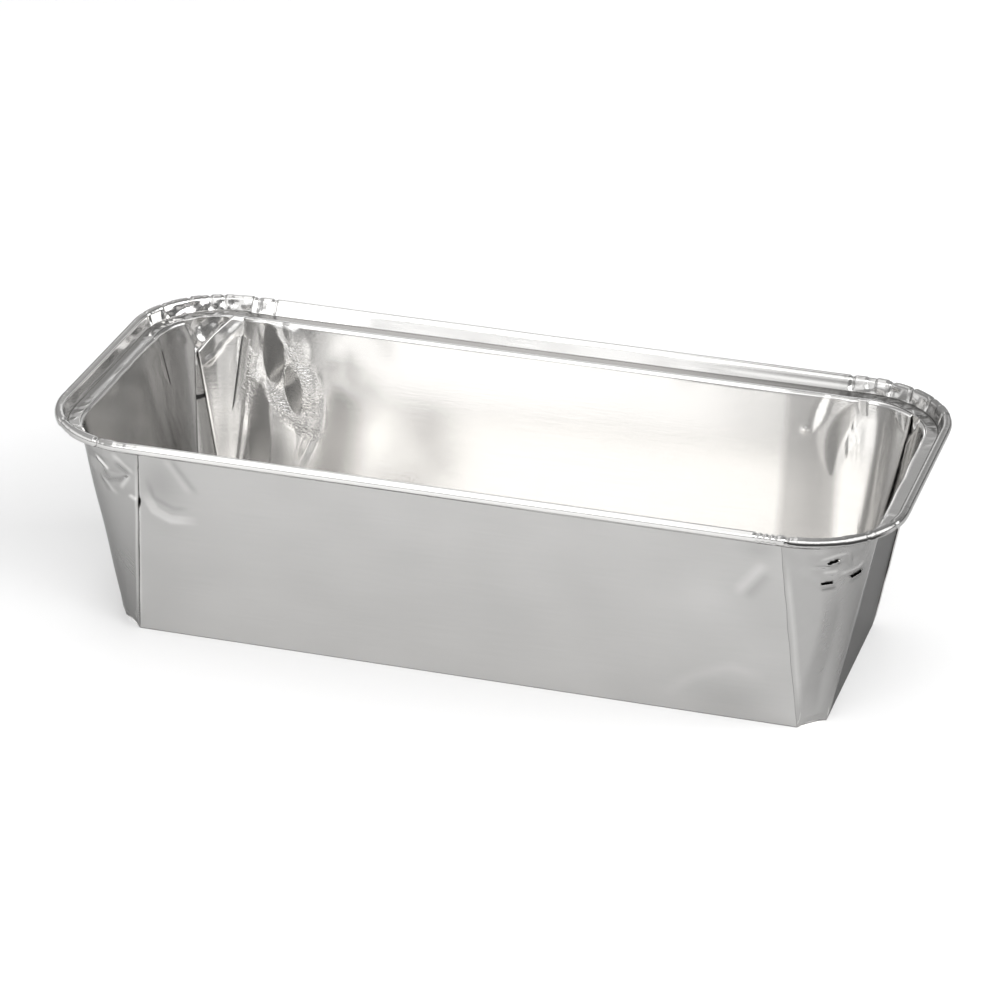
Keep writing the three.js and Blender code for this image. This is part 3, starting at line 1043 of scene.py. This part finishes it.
# %% Sockets with operators
class Wire:
    """A socket of a node tree. Operators on it add Math nodes."""

    def __init__(self, tree, socket=None):
        self.tree = tree
        self.socket = socket

    def node(self, kind, settings, sockets, output=0):
        made = self.tree.nodes.new(kind)
        for name, value in settings.items():
            setattr(made, name, value)
        for name, value in sockets.items():
            if isinstance(value, Wire):
                self.tree.links.new(value.socket, made.inputs[name])
            else:
                made.inputs[name].default_value = value
        return Wire(self.tree, made.outputs[output])

    def math(self, operation, first, second):
        return self.node("ShaderNodeMath", {"operation": operation}, {0: first, 1: second})

    def __add__(self, other):
        return self.math("ADD", self, other)

    def __sub__(self, other):
        return self.math("SUBTRACT", self, other)

    def __rsub__(self, other):
        return self.math("SUBTRACT", other, self)

    def __mul__(self, other):
        return self.math("MULTIPLY", self, other)

    def rise(self, value, start, end):
        """0 before the start, 1 past the end and a smooth step between them."""
        settings = {"interpolation_type": "SMOOTHSTEP"}
        return self.node("ShaderNodeMapRange", settings, {"Value": value, 1: start, 2: end})

    __radd__ = __add__
    __rmul__ = __mul__


# %% [markdown]
# ## Rolled foil
# Rolling leaves fine lines along the sheet and a soft sparkle of tiny pits. Both are far too small to
# model, so they are bump. The lines run along the blank's first axis: along the base and the long walls,
# and up the end walls. Where the wear-and-shade number is above 0 the foil is rougher with deeper pits,
# and its colour is darkened, partly as wear and partly as painted shade; foil that is only pitted
# sparkles. The insides of the front and the right end get a finish without marks, so the painted shade of
# their outsides stays off them. The edge tint sets how much the foil mirrors at a flat angle: little on
# the outside of the right end, as painted shade.

# %% Foil finish
LINES_SCALE, PITS_SCALE = (60, 1500, 0), (1000, 1700, 0)
RELIEF = 0.000016
WARM, COOL = 1.01, 0.985


def foil_finish(name, marks, edge):
    material = bpy.data.materials.new(name)
    material.use_nodes = True
    tree = material.node_tree
    shader = tree.nodes["Principled BSDF"]
    wire = Wire(tree)
    blank = wire.node("ShaderNodeAttribute", {"attribute_name": "blank"}, {}, "Vector")
    wear_and_shade = marks * wire.node("ShaderNodeSeparateXYZ", {}, {"Vector": blank}, "Z")
    lines_at = wire.node("ShaderNodeMapping", {}, {"Vector": blank, "Scale": LINES_SCALE})
    lines = wire.node("ShaderNodeTexNoise", {}, {"Vector": lines_at, "Scale": 1, "Detail": 2})
    pits_at = wire.node("ShaderNodeMapping", {}, {"Vector": blank, "Scale": PITS_SCALE})
    pits = wire.node("ShaderNodeTexNoise", {}, {"Vector": pits_at, "Scale": 1, "Detail": 1})
    dull_and_shade = wire.math("MAXIMUM", wear_and_shade, 0)
    pitted = wire.math("MAXIMUM", wear_and_shade * -1, 0)
    relief = lines * 0.3 + pits * (dull_and_shade * 1.2 + pitted * 9 + 0.3)
    bump = wire.node("ShaderNodeBump", {}, {"Height": relief, "Strength": 1, "Distance": RELIEF})
    # Painted shade: where the wear-and-shade number is above 0 the base colour is darkened.
    shade = (lines * 0.06 + 0.72) * (1 - dull_and_shade * 0.7)
    channels = {"Red": shade * WARM, "Green": shade, "Blue": shade * COOL}
    colour = wire.node("ShaderNodeCombineColor", {}, channels)
    tree.links.new(colour.socket, shader.inputs["Base Color"])
    tree.links.new((lines * 0.04 + dull_and_shade * 0.18 + 0.1).socket, shader.inputs["Roughness"])
    tree.links.new(bump.socket, shader.inputs["Normal"])
    shader.inputs["Metallic"].default_value = 1
    shader.inputs["Specular Tint"].default_value = (edge, edge, edge, 1)
    return material


foil = foil_finish("rolled_foil", 1, 0.6)
# Painted shade: this finish has a low edge tint, so the right end's outside mirrors little at a flat
# angle.
dark = foil_finish("painted_shade_foil", 1, 0.24)
unmarked = foil_finish("unmarked_foil", 0, 0.6)
for piece in pieces:
    piece.data.materials.append(dark if piece == right_end else foil)
for piece in (front, right_end):
    piece.data.materials.append(unmarked)
    piece.modifiers["gauge"].material_offset = 1
print("foil finish on", len(pieces), "pieces")

# %% [markdown]
# ## The studio floor
# Bare metal shows its surroundings, so the studio is half of the look. The floor is matt pale paper,
# which takes the tray's soft shadow.

# %% Floor
FLOOR_HALF = 6


def studio_floor():
    bm = bmesh.new()
    bmesh.ops.create_grid(bm, x_segments=1, y_segments=1, size=FLOOR_HALF)
    mesh = bpy.data.meshes.new("floor")
    bm.to_mesh(mesh)
    bm.free()
    floor = bpy.data.objects.new("floor", mesh)
    bpy.context.scene.collection.objects.link(floor)
    paper = bpy.data.materials.new("floor_paper")
    paper.use_nodes = True
    shader = paper.node_tree.nodes["Principled BSDF"]
    shader.inputs["Base Color"].default_value = (0.95, 0.95, 0.95, 1)
    shader.inputs["Roughness"].default_value = 1
    shader.inputs["Specular IOR Level"].default_value = 0
    mesh.materials.append(paper)
    print("the floor is", 2 * FLOOR_HALF, "m wide")


studio_floor()

# %% [markdown]
# ## The lamps
# Each wall mirrors its own part of the room: the front wall the panels in front, the back wall the same
# panels through the mouth, the ends the panels at the sides. So the light comes from plain soft panels,
# and their sizes and levels set the bands on the foil. The last number is a panel's radiance, which is
# how bright the foil shows it.


# %% Lamps
def softbox(name, place, aim, width, height, radiance):
    data = bpy.data.lights.new(name, "AREA")
    data.shape = "RECTANGLE"
    data.size, data.size_y = width, height
    data.energy = radiance * math.pi * width * height
    lamp = bpy.data.objects.new(name, data)
    lamp.location = place
    lamp.rotation_euler = (Vector(aim) - Vector(place)).to_track_quat("-Z", "Y").to_euler()
    lamp.visible_camera = False
    bpy.context.scene.collection.objects.link(lamp)
    print(name, round(data.energy, 2), "W")


softbox("front_box", (-0.4775, -1.15, 0.88), (-0.1, 0, 0.06), 0.525, 0.6, 2.1)
softbox("front_middle", (-0.0975, -1.15, 0.88), (0, 0, 0.06), 0.235, 0.6, 1.55)
softbox("front_right", (0.66, -1.15, 1.05), (0, 0, 0.06), 1.28, 1.0, 2.65)
softbox("front_low", (-0.325, -1.15, 0.36), (-0.1, 0, 0.06), 0.85, 0.26, 0.75)
softbox("top_strip", (-0.37, 0, 1.3), (-0.37, 0, 0), 0.45, 2.0, 1.0)
softbox("back_left", (-0.4, 1.1, 0.37), (-0.1, 0, 0.06), 0.42, 0.28, 1.45)
softbox("back_middle", (-0.06, 1.1, 0.35), (0, 0, 0.06), 0.25, 0.24, 0.5)
softbox("back_right", (0.4, 1.1, 0.39), (0, 0, 0.06), 0.6, 0.24, 0.8)
softbox("left_panel", (-1.3, -0.1, 0.55), (0, 0, 0.06), 1.6, 0.6, 0.9)
softbox("right_panel", (1.2, -0.05, 0.8), (0, 0, 0.05), 1.7, 1.0, 3.0)

# %% [markdown]
# ## The surroundings
# Between the panels the foil mirrors an even grey room. It is darker to the right and down at the
# horizon, which gives the ends and the bead their darker tones.

# %% Surroundings
ROOM_GREY, RIGHT_DIMMER, HORIZON_DIMMER = 0.6, 0.3, 0.2
world = bpy.data.worlds.new("studio")
bpy.context.scene.world = world
world.use_nodes = True
sky = Wire(world.node_tree)
direction = sky.node("ShaderNodeTexCoord", {}, {}, "Generated")
height = sky.node("ShaderNodeSeparateXYZ", {}, {"Vector": direction}, "Z")
across = sky.node("ShaderNodeSeparateXYZ", {}, {"Vector": direction}, "X")
horizon = sky.rise(height, 0.22, 0.1)
level = ROOM_GREY - sky.rise(across, 0.12, 0.4) * RIGHT_DIMMER - horizon * HORIZON_DIMMER
background = world.node_tree.nodes["Background"]
world.node_tree.links.new(level.socket, background.inputs["Color"])
print("the room's grey takes", len(world.node_tree.nodes), "nodes")

# %% [markdown]
# ## The camera
# The camera stands in front of the tray, a little to its right and well above it, with a long lens. Its
# turn is built from three directions, because Euler angles would hide the small roll.

# %% Camera
azimuth, elevation, roll = math.radians(15.97), math.radians(25.369), math.radians(1.06)
CAMERA_BACK, CAMERA_RIGHT, CAMERA_UP = 1.24902, 0.00003, 0.033655
ground = math.cos(elevation)
back = Vector((math.sin(azimuth) * ground, -math.cos(azimuth) * ground, math.sin(elevation)))
right = Vector((math.cos(azimuth), math.sin(azimuth), 0))
up = back.cross(right)
right, up = math.cos(roll) * right + math.sin(roll) * up, math.cos(roll) * up - math.sin(roll) * right
camera_data = bpy.data.cameras.new("camera")
camera_data.sensor_width = 36
camera_data.lens = 159.17
camera = bpy.data.objects.new("camera", camera_data)
bpy.context.scene.collection.objects.link(camera)
turn = Matrix((right, up, back)).transposed().to_4x4()
spot = back * CAMERA_BACK + right * CAMERA_RIGHT + up * CAMERA_UP
camera.matrix_world = Matrix.Translation(spot) @ turn
bpy.context.scene.camera = camera
bpy.context.scene.view_settings.view_transform = "Standard"
print("camera at", [round(value, 3) for value in camera.matrix_world.translation])
